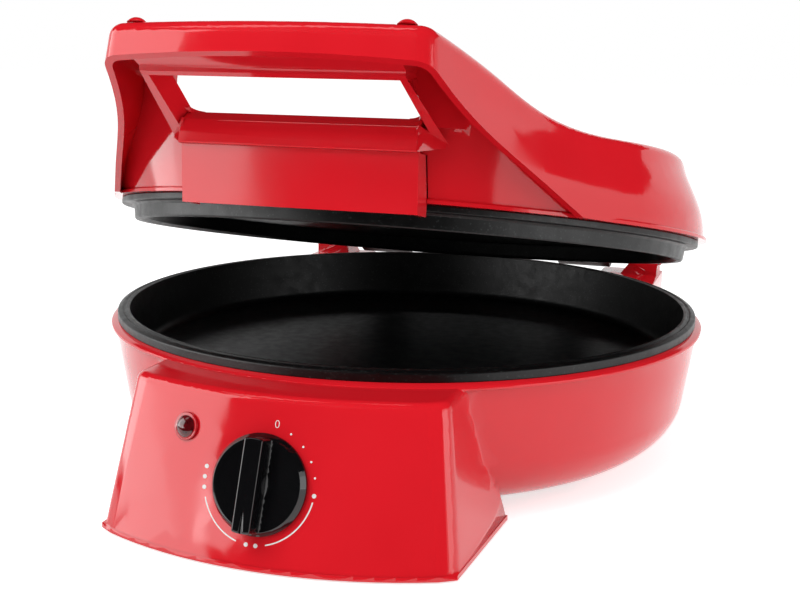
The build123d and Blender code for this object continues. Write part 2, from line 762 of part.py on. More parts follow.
def internal_wiring():
    """Mains leads between the inlet, the switch, the lamp and the lower element."""
    x, y = terminal_place
    z = terminal_z + 4.5
    floor_z = 22.0
    back = knob_place.from_local_coords(Vector(0, 0, -wall - thermostat_stand - thermostat_size[2] - 0.2))
    to_switch = lead([(x + 11, y - 8.3, z), (x + 11, y - 30, floor_z), (-20, -130, floor_z),
                      (-10, back.Y + 12, floor_z), (-10, back.Y + 0.4, back.Z)])
    element_end = -element_radius - element_leg + 0.8
    leg_z = pan_under_z - element_gap - element_tube
    to_left = lead([(-14, element_end, leg_z), (-14, -138, leg_z), (-8, back.Y + 9, back.Z + 6),
                    (-8, back.Y + 2.8, back.Z + 6)], lead_radius, 4)
    to_right = lead([(14, element_end, leg_z), (14, -152, leg_z), (22, -152, floor_z), (40, -60, floor_z),
                     (x + 22, y - 30, floor_z), (x, y - 20, z), (x, y - 8.3, z)], lead_radius, 5)
    lamp_end = lamp_place.from_local_coords(Vector(0, 0, -1.8 - lamp_tube_length - 0.2))
    to_lamp = lead([(lamp_end.X, lamp_end.Y, lamp_end.Z), (lamp_end.X, lamp_end.Y + 9, lamp_end.Z - 3),
                    (-18, back.Y + 8, back.Z + 3), (-12, back.Y + 2.4, back.Z + 3)], 1.0, 3)
    to_inlet = lead([(x, y + 8.3, z), (x, y + 14, z), gland_inside()], lead_radius, 3)
    return group([to_switch, to_left, to_right, to_lamp, to_inlet])


def gland_inside():
    point = gland_place().from_local_coords(Vector(0, 0, -wall - 7))
    return (point.X, point.Y, point.Z)


# Hinge pins, fixed in the towers

def hinge_pins():
    pin = tube(pin_radius, 2.3, (arm_inner + 14, hinge_y, hinge_z), (tower_outer, hinge_y, hinge_z))
    return group([pin, mirror(pin, about=Plane.YZ)])


def hinge_caps():
    """Plugs that close the outer ends of the towers."""
    head = rod(cap_radius, (tower_outer, hinge_y, hinge_z), (tower_outer + cap_thick, hinge_y, hinge_z))
    head = fillet(head.edges().group_by(Axis.X)[-1], 1.2)
    stem = rod(2.3 - seat_gap, (tower_outer - 8, hinge_y, hinge_z), (tower_outer + 1, hinge_y, hinge_z))
    cap = head + stem
    return group([cap, mirror(cap, about=Plane.YZ)])


# Lid shell

def lid_slice(z, radius, inset):
    """Level outline of the lid: a round back, two wings and the handle bar in front."""
    turn = math.radians(wing_angle)
    round_radius = radius - inset
    start = (round_radius * math.cos(turn), -round_radius * math.sin(turn))
    half = bar_half + (bar_z - z) * bar_draft - inset
    corner = (half, inset - bar_reach)
    wing = TangentArc(start, corner, tangent=(-math.sin(turn), -math.cos(turn)))
    front = ThreePointArc(corner, (0, inset - bar_reach - bar_bow), (-half, inset - bar_reach))
    other = mirror(wing, about=Plane.YZ)
    back = CenterArc((0, 0), round_radius, -wing_angle, 180 + 2 * wing_angle)
    face = make_face([back, wing.edge(), front, other.edge()]).face()
    corners = [vertex for vertex in face.vertices() if vertex.Y < inset - bar_reach + 1]
    face = face.fillet_2d(max(bar_corner - inset, 1.0), corners)
    return Pos(0, 0, z) * face


def lid_block(inset):
    """Solid inside the outer surface of the lid, or a smaller copy for its hollow."""
    body = loft([lid_slice(z, radius, inset) for z, radius in lid_rounds])
    ridge = Spline(*[(y, z - inset) for y, z in lid_ridge])
    first = ridge @ 0
    last = ridge @ 1
    low = lid_low_z - 10
    below = make_face([ridge, Line(last, (last.X, low)), Line((last.X, low), (first.X, low)),
                       Line((first.X, low), first)])
    reach = 2 * flange_radius
    body &= Pos(-reach / 2, 0, 0) * extrude(Plane.YZ * below, reach, dir=(1, 0, 0))
    if inset == 0:
        crown = [edge for edge in body.edges() if edge.center().Z > 126]
        body = fillet(crown, lid_edge_round)
    return body


def front_cone(inset):
    low = lid_low_z - 3
    high = 160.0
    base = front_radius - inset
    return turned([(0, low), (base + front_lean * (low - lid_low_z), low),
                   (base + front_lean * (high - lid_low_z), high), (0, high)])


def finger_well(grow):
    """Open channel behind the handle bar, wider towards the back."""
    front = -well_front - grow
    back = -well_back + grow
    half = well_half + grow
    back_half = well_back_half + grow
    top = 2 * lid_low_z
    level = slab([(front, well_low_z - grow), (back, well_high_z - grow), (back, top), (front, top)],
                 -back_half, back_half)
    plan = Polyline((half, front), (half, -well_knee), (back_half, back), (-back_half, back),
                    (-half, -well_knee), (-half, front), close=True)
    return level & extrude(make_face(plan.edges()), top)


def frame_line(along, off=0.0):
    """Point (y, z) on the slanted plane of the handle insert."""
    turn = math.atan(frame_slope)
    y = frame_top[0] + along * math.cos(turn) + off * math.sin(turn)
    z = frame_top[1] - along * math.sin(turn) + off * math.cos(turn)
    return (y, z)


def lid_shell():
    outer = lid_block(0)
    inner = lid_block(wall) - finger_well(wall)
    cone = front_cone(0)
    cone_inside = front_cone(plate_wall)
    body = outer - finger_well(0)
    body -= inner & cone_inside
    body -= inner - cone
    # Hollow under the handle bar is open below the crease
    front = -bar_reach - 20
    back = -60.0
    crease_back = bar_z - crease_slope * (bar_reach + back)
    crease = slab([(front, bar_z + crease_slope * 20), (back, crease_back), (back, 40), (front, 40)],
                  -150, 150)
    body -= crease - cone
    lip_top = lid_low_z + lid_lip_height
    lip_inside = front_radius - plate_wall
    body += turned([(lip_inside, lid_low_z), (lid_lip_radius, lid_low_z),
                    (lid_lip_radius, lip_top - lip_slope),
                    (lid_lip_radius - lip_slope, lip_top), (lip_inside, lip_top)])
    # Ledge that the upper plate rests against
    body += tube(front_radius - 1, front_radius - 5.5, (0, 0, lid_low_z), (0, 0, lid_low_z + 2.6))
    # Posts: for the upper plate, the hinge arms and the handle insert
    roof = lid_block(1.0) - finger_well(1.0)
    studs = around(upper_boss_ring, upper_angles)
    posts = [rod(5.0, (x, y, upper_reflector_z + sheet), (x, y, 150)) for x, y in studs]
    posts += [rod(4.0, (x, y, arm_high_z), (x, y, 150)) for x, y in arm_screw_places()]
    posts += [rod(4.5, (x, tab_y, tab_z + insert_wall), (x, tab_y, 150)) for x in (-tab_x, tab_x)]
    for post in posts:
        body += post & roof & cone_inside
    for x, y in studs:
        body -= rod(pan_screw_radius + seat_gap, (x, y, upper_reflector_z), (x, y, upper_reflector_z + 18))
    for x, y in arm_screw_places():
        body -= rod(arm_screw_radius + seat_gap, (x, y, arm_high_z - 1), (x, y, arm_high_z + 12))
    for x in (-tab_x, tab_x):
        body -= rod(cover_screw_radius + seat_gap, (x, tab_y, tab_z), (x, tab_y, tab_z + 14))
    # Seat of the handle insert
    deep = frame_deep + part_gap
    seat = slab([frame_line(-8, deep), frame_line(40.6, deep), (floor_start, 70), (frame_line(-8)[0], 70)],
                -insert_gap_half, insert_gap_half)
    body -= seat
    body -= both_sides(frame_side(part_gap, 8)) - cone
    body -= block((-insert_half - part_gap, -180, 70), (insert_half + part_gap, -150, 106))
    # Slots for the hinge arms and the lead to the upper element
    slot = block((arm_inner - part_gap, 100, arm_low_z - 0.5),
                 (arm_outer + part_gap, 190, arm_high_z + part_gap))
    body -= both_sides(slot)
    body -= rod(2.2, (lead_x, 140, lead_z), (lead_x, 180, lead_z))
    for x in (-rest_foot_x, rest_foot_x):
        body -= rod(1.6 + seat_gap, (x, rest_foot_y, 140), (x, rest_foot_y, 160))
    # The seat cuts two loose bits off the floor of the finger well, which are left out
    return max(body.solids(), key=lambda solid: solid.volume)


def arm_screw_places():
    middle = (arm_inner + arm_outer) / 2
    return [(side * middle, arm_start_y + step) for side in (-1, 1) for step in arm_screw_steps]


# Handle insert

def frame_plane(off=0.0):
    """Plane of the slanted frame round the grip hole, its Y axis pointing back and down."""
    turn = math.atan(frame_slope)
    plane = Plane(origin=(0, *frame_top), x_dir=(1, 0, 0), z_dir=(0, math.sin(turn), math.cos(turn)))
    return plane * Pos(0, 0, off)


def frame_side(grow=0.0, ahead=0.0):
    """Right-hand side of the slanted frame, or the space that it needs."""
    rise = hole_back_top - grow
    fall = hole_back_low + 3 + grow
    front = [(hole_top_half - grow, -1 - grow), (frame_top_half + grow, -1 - grow),
             (frame_low_half + grow, frame_long + grow), (hole_low_half - grow, frame_long + grow)]
    back = [(hole_back_top_half - grow, rise), (insert_half + grow, rise - 2), (insert_half + grow, fall),
            (hole_back_low_half - grow, fall)]
    low = make_face(Polyline(*front, close=True).edges())
    high = make_face(Polyline(*back, close=True).edges())
    side = loft([frame_plane() * low, frame_plane(frame_deep + grow) * high], ruled=True)
    if ahead:
        side += frame_plane(-ahead) * extrude(low, ahead)
    return side


def hole_corner_web():
    """Rounded lower right-hand corner of the grip hole."""
    side = hole_back_low_half + 0.4
    low = hole_back_low - 1.0
    start = (side, low - hole_corner)
    end = (side - hole_corner, low)
    swing = 0.3 * hole_corner
    arc = ThreePointArc(start, (side - swing, low - swing), end)
    web = make_face([arc, Line(end, (side, low)), Line((side, low), start)])
    return frame_plane(frame_deep - insert_wall) * extrude(web, insert_wall)


def ledge_end():
    """Right-hand end of the ledge, which runs back to the foot of the slanted frame."""
    front = ledge_outline[1][0] + 1.0
    back = frame_line(frame_long - 1.0)[0]
    inner = insert_half - 1.0
    outer = frame_low_half - 0.7
    upper = [(y, frame_top[1] - frame_slope * (y - frame_top[0]) + 0.6) for y in (back, front)]
    side = slab([(front, plate_high[1]), (back, plate_high[1] + ledge_end_rise), *upper], inner, outer)
    plan = Polyline((inner, front), (insert_half, front), (outer, back), (inner, back), close=True)
    return side & extrude(make_face(plan.edges()), 2 * lid_low_z)


def handle_insert():
    rail = slab(rail_outline, -frame_top_half, frame_top_half) & lid_block(wall + part_gap)
    sides = both_sides(frame_side()) + both_sides(hole_corner_web())
    band = slab(ledge_outline, -insert_half, insert_half)
    band = fillet(band.edges().filter_by(Axis.X).group_by(Axis.Y)[0], 0.8)
    low_y, low_z = plate_low
    high_y, high_z = plate_high
    deep = insert_wall
    plate = slab([plate_low, plate_high, (high_y + deep, high_z), (low_y + deep, low_z)],
                 -insert_half, insert_half)
    strip = slab([plate_low, plate_high, (strip_back_high, high_z), (strip_back_low, lid_low_z),
                  (strip_back_low, low_z)], insert_half - deep, insert_half)
    shelf = block((-insert_half, high_y + 1, high_z - deep), (insert_half, strip_back_high, high_z))
    tab = block((tab_x - 7, plate_high[0] + 2, tab_z), (tab_x + 7, tab_y + 6, tab_z + insert_wall))
    inside_plate = slab([plate_low, plate_high, (-100, high_z), (-100, low_z)],
                        -insert_half, insert_half)
    tab &= inside_plate
    frame = rail + sides + both_sides(ledge_end())
    outside = frame - block((-insert_half, -300, 0), (insert_half, 0, 300))
    inside = frame & block((-insert_half, -300, 0), (insert_half, floor_start - part_gap, 300))
    body = (outside - front_cone(-part_gap)) + inside
    body += band + plate + both_sides(strip) + shelf + both_sides(tab)
    for x in (-tab_x, tab_x):
        body -= rod(cover_screw_radius + seat_gap, (x, tab_y, tab_z - 1), (x, tab_y, tab_z + 5))
    return body


def handle_screws():
    return group([Pos(x, tab_y, tab_z) * screw(cover_screw_radius, 12, 2.8, 1.4) for x in (-tab_x, tab_x)])


def lid_rest_feet():
    """Buttons on the handle bar that the opened lid rests on."""
    rise = 2.6
    sphere = (rest_foot_radius ** 2 + rise ** 2) / (2 * rise)
    feet = []
    for x in (-rest_foot_x, rest_foot_x):
        dome = Pos(x, rest_foot_y, rest_foot_z - sphere) * Sphere(sphere)
        dome &= rod(rest_foot_radius, (x, rest_foot_y, 148), (x, rest_foot_y, 160))
        dimple = Pos(x, rest_foot_y, rest_foot_z + 1.6) * Sphere(2.4)
        stem = rod(1.6, (x, rest_foot_y, 146.5), (x, rest_foot_y, 151))
        feet.append(dome - lid_block(-0.02) - dimple + stem)
    return group(feet)


# Upper plate and what is fixed above it

def upper_plate():
    low = upper_ring_z
    ring = upper_ring_radius
    outline = [
        (0, upper_face_z), (ring - 10, upper_face_z), (ring - 6, low + 1.5),
        (ring - upper_ring_width + 0.7, low),
        (ring - 0.5, low), (ring, low + 0.7), (ring + 0.8, upper_flange_low_z - 1.2),
        (ring + 2.0, upper_flange_low_z), (upper_flange_radius, upper_flange_low_z),
        (upper_flange_radius, lid_low_z), (ring + 3, lid_low_z), (ring - 1, upper_back_z), (0, upper_back_z),
    ]
    body = turned(outline, [0, 1.5, 1.0, 0.5, 0.3, 0.3, 1.0, 0.8, 0.6, 0.6, 0, 0, 0])
    for x, y in around(upper_boss_ring, upper_angles):
        body += rod(boss_radius - 1, (x, y, upper_back_z - 0.1), (x, y, upper_reflector_z))
        body -= rod(pan_screw_radius + seat_gap, (x, y, upper_back_z), (x, y, upper_reflector_z + 1))
    return body


def upper_plate_studs():
    places = around(upper_boss_ring, upper_angles)
    low = upper_back_z + 0.5
    high = upper_reflector_z + 16
    return group([rod(pan_screw_radius, (x, y, low), (x, y, high)) for x, y in places])


def upper_reflector():
    low = upper_reflector_z
    rim = 3.0
    radius = upper_reflector_radius
    outline = [(0, low), (radius, low), (radius + rim, low - rim), (radius + rim, low - rim + sheet),
               (radius, low + sheet), (0, low + sheet)]
    disc = turned(outline)
    for x, y in around(upper_boss_ring, upper_angles):
        disc -= rod(pan_screw_radius + seat_gap, (x, y, 0), (x, y, 2 * low))
    return disc


def upper_heating_element():
    return heating_element(upper_back_z + element_gap + element_tube, 180)


def upper_element_clamps():
    return group([element_clamp(angle, upper_back_z, True) for angle in (-20, 200, 270)])


# Hinge blocks of the lid

def hinge_blocks():
    barrel = rod(barrel_radius, (barrel_start, hinge_y, hinge_z), (barrel_end, hinge_y, hinge_z))
    ends = barrel.edges().filter_by(GeomType.CIRCLE)
    barrel = fillet(ends, 0.8)
    arm = block((arm_inner, arm_start_y, arm_low_z), (arm_outer, hinge_y, arm_high_z))
    web_top = arm_high_z - 1
    web = slab([(hinge_y - 12, arm_low_z), (hinge_y - 8, hinge_z - 4), (hinge_y, hinge_z),
                (hinge_y, web_top), (hinge_y - 30, web_top)], arm_inner, arm_outer)
    body = barrel + arm + web
    cap = hinge_y + 2.2
    body += slab([(hinge_y - 1, arm_high_z), (cap, hinge_z + barrel_radius - 0.3), (cap, hinge_z),
                  (hinge_y - 1, hinge_z)], arm_inner, arm_outer)
    start = barrel_end - bush_length
    seat = pin_radius + run_gap + bush_wall + seat_gap
    body -= rod(seat, (start, hinge_y, hinge_z), (barrel_end + 1, hinge_y, hinge_z))
    body -= rod(pin_radius + 0.6, (barrel_start - 1, hinge_y, hinge_z), (start, hinge_y, hinge_z))
    for x, y in arm_screw_places():
        body -= rod(arm_screw_radius + seat_gap, (abs(x), y, arm_low_z - 1), (abs(x), y, arm_high_z + 1))
    return group([body, mirror(body, about=Plane.YZ)])


def hinge_bushes():
    start = barrel_end - bush_length
    bore = pin_radius + run_gap
    bush = tube(bore + bush_wall, bore, (start, hinge_y, hinge_z), (barrel_end, hinge_y, hinge_z))
    return group([bush, mirror(bush, about=Plane.YZ)])


def hinge_screws():
    fastener = screw(arm_screw_radius, 19, 3.4, 1.8)
    return group([Pos(x, y, arm_low_z) * fastener for x, y in arm_screw_places()])


def lid_wiring():
    """Lead that reaches the upper element through the hollow hinge pin."""
    leg_y = element_radius + element_leg - 1.0
    leg_z = upper_back_z + element_gap + element_tube
    return lead([(barrel_end, hinge_y, hinge_z), (lead_x, hinge_y, hinge_z), (lead_x, hinge_y - 14, lead_z),
                 (lead_x, leg_y + 12, lead_z), (element_leg_x, leg_y + 6, leg_z),
                 (element_leg_x, leg_y + 1, leg_z)], 1.4, 4)


lid_body = {
    "lid_shell": lid_shell,
    "handle_insert": handle_insert,
    "handle_screws": handle_screws,
    "lid_rest_feet": lid_rest_feet,
    "upper_plate": upper_plate,
    "upper_plate_studs": upper_plate_studs,
    "upper_reflector": upper_reflector,
    "upper_heating_element": upper_heating_element,
    "upper_element_clamps": upper_element_clamps,
    "hinge_blocks": hinge_blocks,
    "hinge_bushes": hinge_bushes,
    "hinge_screws": hinge_screws,
    "lid_wiring": lid_wiring,
}
base_body = {
    "base_shell": base_shell,
    "bottom_cover": bottom_cover,
    "bottom_cover_screws": bottom_cover_screws,
    "control_box_cover": control_box_cover,
    "control_box_screws": control_box_screws,
    "front_pads": front_pads,
    "rear_pads": rear_pads,
    "cord_gland": cord_gland,
    "baking_pan": baking_pan,
    "pan_screws": pan_screws,
    "lower_reflector": lower_reflector,
    "lower_heating_element": lower_heating_element,
    "lower_element_clamps": lower_element_clamps,
    "thermostat_body": thermostat_body,
    "thermostat_screws": thermostat_screws,
    "thermostat_sensor": thermostat_sensor,
    "indicator_lens": indicator_lens,
    "indicator_lamp": indicator_lamp,
    "lamp_holder": lamp_holder,
    "terminal_block": terminal_block,
    "terminal_screws": terminal_screws,
    "thermal_fuse": thermal_fuse,
    "internal_wiring": internal_wiring,
    "hinge_pins": hinge_pins,
    "hinge_caps": hinge_caps,
}
knob_body = {
    "control_knob": control_knob,
    "thermostat_shaft": thermostat_shaft,
}

shapes = {name: make() for name, make in (base_body | knob_body).items()}
shapes |= {name: lid_turn * make() for name, make in lid_body.items()}

# The whole object is moved so that the origin lies under the middle of its length
boxes = [shape.bounding_box() for shape in shapes.values()]
front_end = min(box.min.Y for box in boxes)
back_end = max(box.max.Y for box in boxes)
middle = Pos(0, -(front_end + back_end) / 2, 0)

os.makedirs("parts", exist_ok=True)
for name, shape in shapes.items():
    export_step(middle * shape, f"parts/{name}.step")
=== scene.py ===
import bpy
import bmesh
import json
import math
from mathutils import Matrix, Vector
from mathutils.bvhtree import BVHTree


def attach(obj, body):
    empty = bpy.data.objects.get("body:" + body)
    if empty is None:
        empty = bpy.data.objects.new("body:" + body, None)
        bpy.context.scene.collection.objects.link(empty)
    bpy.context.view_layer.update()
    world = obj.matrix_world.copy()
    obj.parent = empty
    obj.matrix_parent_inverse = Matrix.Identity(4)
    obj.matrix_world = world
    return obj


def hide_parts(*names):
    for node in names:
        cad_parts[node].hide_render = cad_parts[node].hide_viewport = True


# Pizza maker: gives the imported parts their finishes, smooth shading and panel marks,
# and sets up the floor, the light and the camera. Sizes are in metres, angles in degrees.

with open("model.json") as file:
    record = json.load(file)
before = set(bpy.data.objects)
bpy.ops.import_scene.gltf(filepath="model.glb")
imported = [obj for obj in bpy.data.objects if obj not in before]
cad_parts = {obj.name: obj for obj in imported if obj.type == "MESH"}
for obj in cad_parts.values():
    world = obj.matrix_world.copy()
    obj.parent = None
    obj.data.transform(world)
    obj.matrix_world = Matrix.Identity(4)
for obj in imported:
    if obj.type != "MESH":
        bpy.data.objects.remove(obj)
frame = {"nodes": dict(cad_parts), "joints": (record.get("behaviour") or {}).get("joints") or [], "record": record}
nodes = frame["nodes"]
scene = bpy.context.scene
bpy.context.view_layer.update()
print("stage 1: frame loaded,", len(nodes), "parts")


def jointNamed(name):
    return next(joint for joint in frame["joints"] if joint["name"] == name)


hingePos = Vector(jointNamed("lid_hinge")["pos_m"])
knobPos = Vector(jointNamed("knob_turn")["pos_m"])
panelOut = -Vector(jointNamed("knob_turn")["axis"]).normalized()
panelRight = Vector((0, 0, 1)).cross(panelOut).normalized()
panelUp = panelOut.cross(panelRight)


def addThing(name, data):
    thing = bpy.data.objects.new(name, data)
    scene.collection.objects.link(thing)
    return thing


# building blocks for the finishes

def newMaterial(name):
    material = bpy.data.materials.new(name)
    material.use_nodes = True
    return material


def shaderOf(material):
    return material.node_tree.nodes["Principled BSDF"]


def addNode(material, kind, **values):
    node = material.node_tree.nodes.new(kind)
    for key, value in values.items():
        setattr(node, key, value)
    return node


def join(material, outSocket, inSocket):
    material.node_tree.links.new(outSocket, inSocket)


def feed(material, label, outSocket):
    join(material, outSocket, shaderOf(material).inputs[label])


def noiseOn(material, scale, detail=3.0, stretch=(1, 1, 1)):
    place = addNode(material, "ShaderNodeTexCoord")
    mapping = addNode(material, "ShaderNodeMapping")
    mapping.inputs["Scale"].default_value = stretch
    noise = addNode(material, "ShaderNodeTexNoise")
    noise.inputs["Scale"].default_value = scale
    noise.inputs["Detail"].default_value = detail
    join(material, place.outputs["Object"], mapping.inputs["Vector"])
    join(material, mapping.outputs["Vector"], noise.inputs["Vector"])
    return noise.outputs["Fac"]


def spread(material, value, low, high, start=0.3, end=0.7):
    ranger = addNode(material, "ShaderNodeMapRange")
    ranger.inputs["From Min"].default_value = start
    ranger.inputs["From Max"].default_value = end
    ranger.inputs["To Min"].default_value = low
    ranger.inputs["To Max"].default_value = high
    join(material, value, ranger.inputs["Value"])
    return ranger.outputs["Result"]


def tint(material, value, first, second, start=0.35, end=0.65):
    ramp = addNode(material, "ShaderNodeValToRGB")
    ramp.color_ramp.elements[0].position = start
    ramp.color_ramp.elements[0].color = (*first, 1)
    ramp.color_ramp.elements[1].position = end
    ramp.color_ramp.elements[1].color = (*second, 1)
    join(material, value, ramp.inputs["Fac"])
    return ramp.outputs["Color"]


# mix of two colours, each given as three numbers or as another node's socket
def blend(material, share, first, second):
    mix = addNode(material, "ShaderNodeMix", data_type="RGBA", blend_type="MIX")
    join(material, share, mix.inputs[0])
    for colour, socket in ((first, mix.inputs[6]), (second, mix.inputs[7])):
        if isinstance(colour, tuple):
            socket.default_value = (*colour, 1)
        else:
            join(material, colour, socket)
    return mix.outputs[2]


def roughen(material, surface, rough, stretch=(1, 1, 1)):
    noise = noiseOn(material, *surface["roughNoise"], stretch)
    feed(material, "Roughness", spread(material, noise, *rough))


def grain(material, surface):
    bump = addNode(material, "ShaderNodeBump")
    bump.inputs["Strength"].default_value = surface["bumpStrength"]
    bump.inputs["Distance"].default_value = surface["bumpDepth"]
    join(material, noiseOn(material, *surface["bumpNoise"]), bump.inputs["Height"])
    feed(material, "Normal", bump.outputs["Normal"])


# red and black mouldings, rubber and ceramic; each noise has a scale and a detail

glossy = {
    "colourNoise": (9.0, 3.0),
    "roughNoise": (45.0, 5.0),
    "bumpNoise": (130.0, 2.0),
    "bumpStrength": 0.05,
    "bumpDepth": 0.0002,
}
matt = {
    "colourNoise": (60.0, 3.0),
    "roughNoise": (200.0, 3.0),
    "bumpNoise": (1800.0, 2.0),
    "bumpStrength": 0.3,
    "bumpDepth": 0.0001,
}


def moulding(name, surface, first, second, rough):
    material = newMaterial(name)
    feed(material, "Base Color", tint(material, noiseOn(material, *surface["colourNoise"]), first, second))
    roughen(material, surface, rough)
    grain(material, surface)
    return material


# non-stick coating of the pan and the upper plate

coating = {
    "black": (0.0022, 0.0024, 0.0026),
    "fleck": (0.032, 0.038, 0.037),
    "fleckScale": 620.0,
    "fleckEdge": (0.10, 0.34),  # where a fleck starts to fade and where it ends, in its cell
    "patchNoise": (420.0, 4.0),
    "patchEdge": (0.42, 0.6),  # noise values between which the flecks come out
    "rough": (0.33, 0.45),
    "roughNoise": (160.0, 4.0),
    "bumpNoise": (1400.0, 3.0),
    "bumpStrength": 0.35,
    "bumpDepth": 0.0002,
    "shine": 0.36,
}


def speckledCoating(name):
    material = newMaterial(name)
    cells = addNode(material, "ShaderNodeTexVoronoi")
    cells.inputs["Scale"].default_value = coating["fleckScale"]
    place = addNode(material, "ShaderNodeTexCoord")
    join(material, place.outputs["Object"], cells.inputs["Vector"])
    distance = cells.outputs["Distance"]
    flecks = tint(material, distance, coating["fleck"], coating["black"], *coating["fleckEdge"])
    patches = spread(material, noiseOn(material, *coating["patchNoise"]), 0.0, 1.0, *coating["patchEdge"])
    feed(material, "Base Color", blend(material, patches, coating["black"], flecks))
    roughen(material, coating, coating["rough"])
    grain(material, coating)
    shaderOf(material).inputs["Specular IOR Level"].default_value = coating["shine"]
    return material


# metals; the noise is finer along one axis, so the grain runs across it

metal = {
    "colourNoise": (220.0, 4.0),
    "roughNoise": (500.0, 3.0),
    "turned": (1, 1, 12),
    "rolled": (12, 1, 1),
}


def metalFinish(name, first, second, rough, stretch):
    material = newMaterial(name)
    shaderOf(material).inputs["Metallic"].default_value = 1.0
    noise = noiseOn(material, *metal["colourNoise"], stretch)
    feed(material, "Base Color", tint(material, noise, first, second))
    roughen(material, metal, rough, stretch)
    return material


# lamp lens with a brighter rim, and the lamp behind it

lamp = {
    "dark": (0.035, 0.001, 0.002),
    "bright": (0.12, 0.003, 0.006),
    "colourNoise": (300.0, 3.0),
    "rim": (0.46, 0.006, 0.012),
    "rimRadius": 0.0049,
    "rimBlur": 0.0001,
    "rough": (0.04, 0.09),
    "roughNoise": (90.0, 3.0),
    "coat": 0.3,
    "coatRough": 0.04,
}


# middle and axis of a round part whose axis is close to the given one
def middleAndAxis(thing, axis):
    place = thing.matrix_world
    turn = place.to_3x3()
    faces = [(face.area, turn @ face.normal, place @ face.center) for face in thing.data.polygons]
    wholeArea = sum(area for area, normal, centre in faces)
    middle = sum((centre * area for area, normal, centre in faces), Vector()) / wholeArea
    rounds = 4
    facing = 0.8  # cosine to the axis, from which a face counts as a front face
    for _ in range(rounds):
        front = [normal * area for area, normal, centre in faces if normal.dot(axis) > facing]
        axis = sum(front, Vector()).normalized()
    return middle, axis


# 0 on the dome and 1 on the rim, by the distance from the lens axis
def rimShare(material, middle, axis):
    place = addNode(material, "ShaderNodeTexCoord")
    offset = addNode(material, "ShaderNodeVectorMath", operation="SUBTRACT")
    offset.inputs[1].default_value = middle
    across = addNode(material, "ShaderNodeVectorMath", operation="CROSS_PRODUCT")
    across.inputs[1].default_value = axis
    away = addNode(material, "ShaderNodeVectorMath", operation="LENGTH")
    join(material, place.outputs["Object"], offset.inputs[0])
    join(material, offset.outputs["Vector"], across.inputs[0])
    join(material, across.outputs["Vector"], away.inputs[0])
    rimStart = lamp["rimRadius"] - lamp["rimBlur"]
    rimEnd = lamp["rimRadius"] + lamp["rimBlur"]
    return spread(material, away.outputs["Value"], 0.0, 1.0, rimStart, rimEnd)


def lensFinish(name, middle=None, axis=None):
    material = newMaterial(name)
    colour = tint(material, noiseOn(material, *lamp["colourNoise"]), lamp["dark"], lamp["bright"])
    if middle is not None:
        colour = blend(material, rimShare(material, middle, axis), colour, lamp["rim"])
    feed(material, "Base Color", colour)
    roughen(material, lamp, lamp["rough"])
    shaderOf(material).inputs["Coat Weight"].default_value = lamp["coat"]
    shaderOf(material).inputs["Coat Roughness"].default_value = lamp["coatRough"]
    return material


# glass fibre sleeve of the wires inside

sleeve = {
    "thread": (0.82, 0.8, 0.76),
    "gap": (0.62, 0.6, 0.55),
    "weaveScale": 900.0,
    "rough": 0.7,
}


def braidedSleeve(name):
    material = newMaterial(name)
    weave = addNode(material, "ShaderNodeTexWave", wave_type="BANDS", bands_direction="DIAGONAL")
    weave.inputs["Scale"].default_value = sleeve["weaveScale"]
    place = addNode(material, "ShaderNodeTexCoord")
    join(material, place.outputs["Object"], weave.inputs["Vector"])
    feed(material, "Base Color", tint(material, weave.outputs["Fac"], sleeve["gap"], sleeve["thread"]))
    shaderOf(material).inputs["Roughness"].default_value = sleeve["rough"]
    return material


# two colours that each finish varies between, and its least and greatest roughness

finishes = {
    "red": ((0.66, 0.0095, 0.017), (0.72, 0.012, 0.021), (0.07, 0.12)),
    "knob": ((0.0025, 0.0025, 0.003), (0.004, 0.004, 0.0045), (0.05, 0.09)),
    "black": ((0.014, 0.014, 0.015), (0.022, 0.022, 0.023), (0.45, 0.6)),
    "rubber": ((0.012, 0.012, 0.012), (0.02, 0.019, 0.019), (0.7, 0.85)),
    "ceramic": ((0.70, 0.66, 0.58), (0.78, 0.75, 0.68), (0.35, 0.5)),
    "zinc": ((0.50, 0.50, 0.52), (0.62, 0.62, 0.64), (0.25, 0.4)),
    "steel": ((0.36, 0.36, 0.37), (0.46, 0.46, 0.47), (0.25, 0.4)),
    "sheet": ((0.70, 0.71, 0.73), (0.80, 0.81, 0.83), (0.18, 0.3)),
    "brass": ((0.60, 0.44, 0.18), (0.70, 0.54, 0.26), (0.25, 0.4)),
}

redGloss = moulding("red gloss moulding", glossy, *finishes["red"])
knobBlack = moulding("knob black", glossy, *finishes["knob"])
nonStick = speckledCoating("speckled non-stick")
mattBlack = moulding("matt black moulding", matt, *finishes["black"])
rubberBlack = moulding("foot rubber", matt, *finishes["rubber"])
ceramicCream = moulding("cream ceramic", matt, *finishes["ceramic"])
lensRed = lensFinish("dark red lens", *middleAndAxis(nodes["indicator_lens"], panelOut))
neonGlass = lensFinish("neon lamp glass")
zincPlate = metalFinish("zinc plate", *finishes["zinc"], metal["turned"])
plainSteel = metalFinish("plain steel", *finishes["steel"], metal["turned"])
brightSheet = metalFinish("bright sheet", *finishes["sheet"], metal["rolled"])
brassTurned = metalFinish("turned brass", *finishes["brass"], metal["turned"])
wireSleeve = braidedSleeve("wire sleeve")
print("stage 2: finishes made")

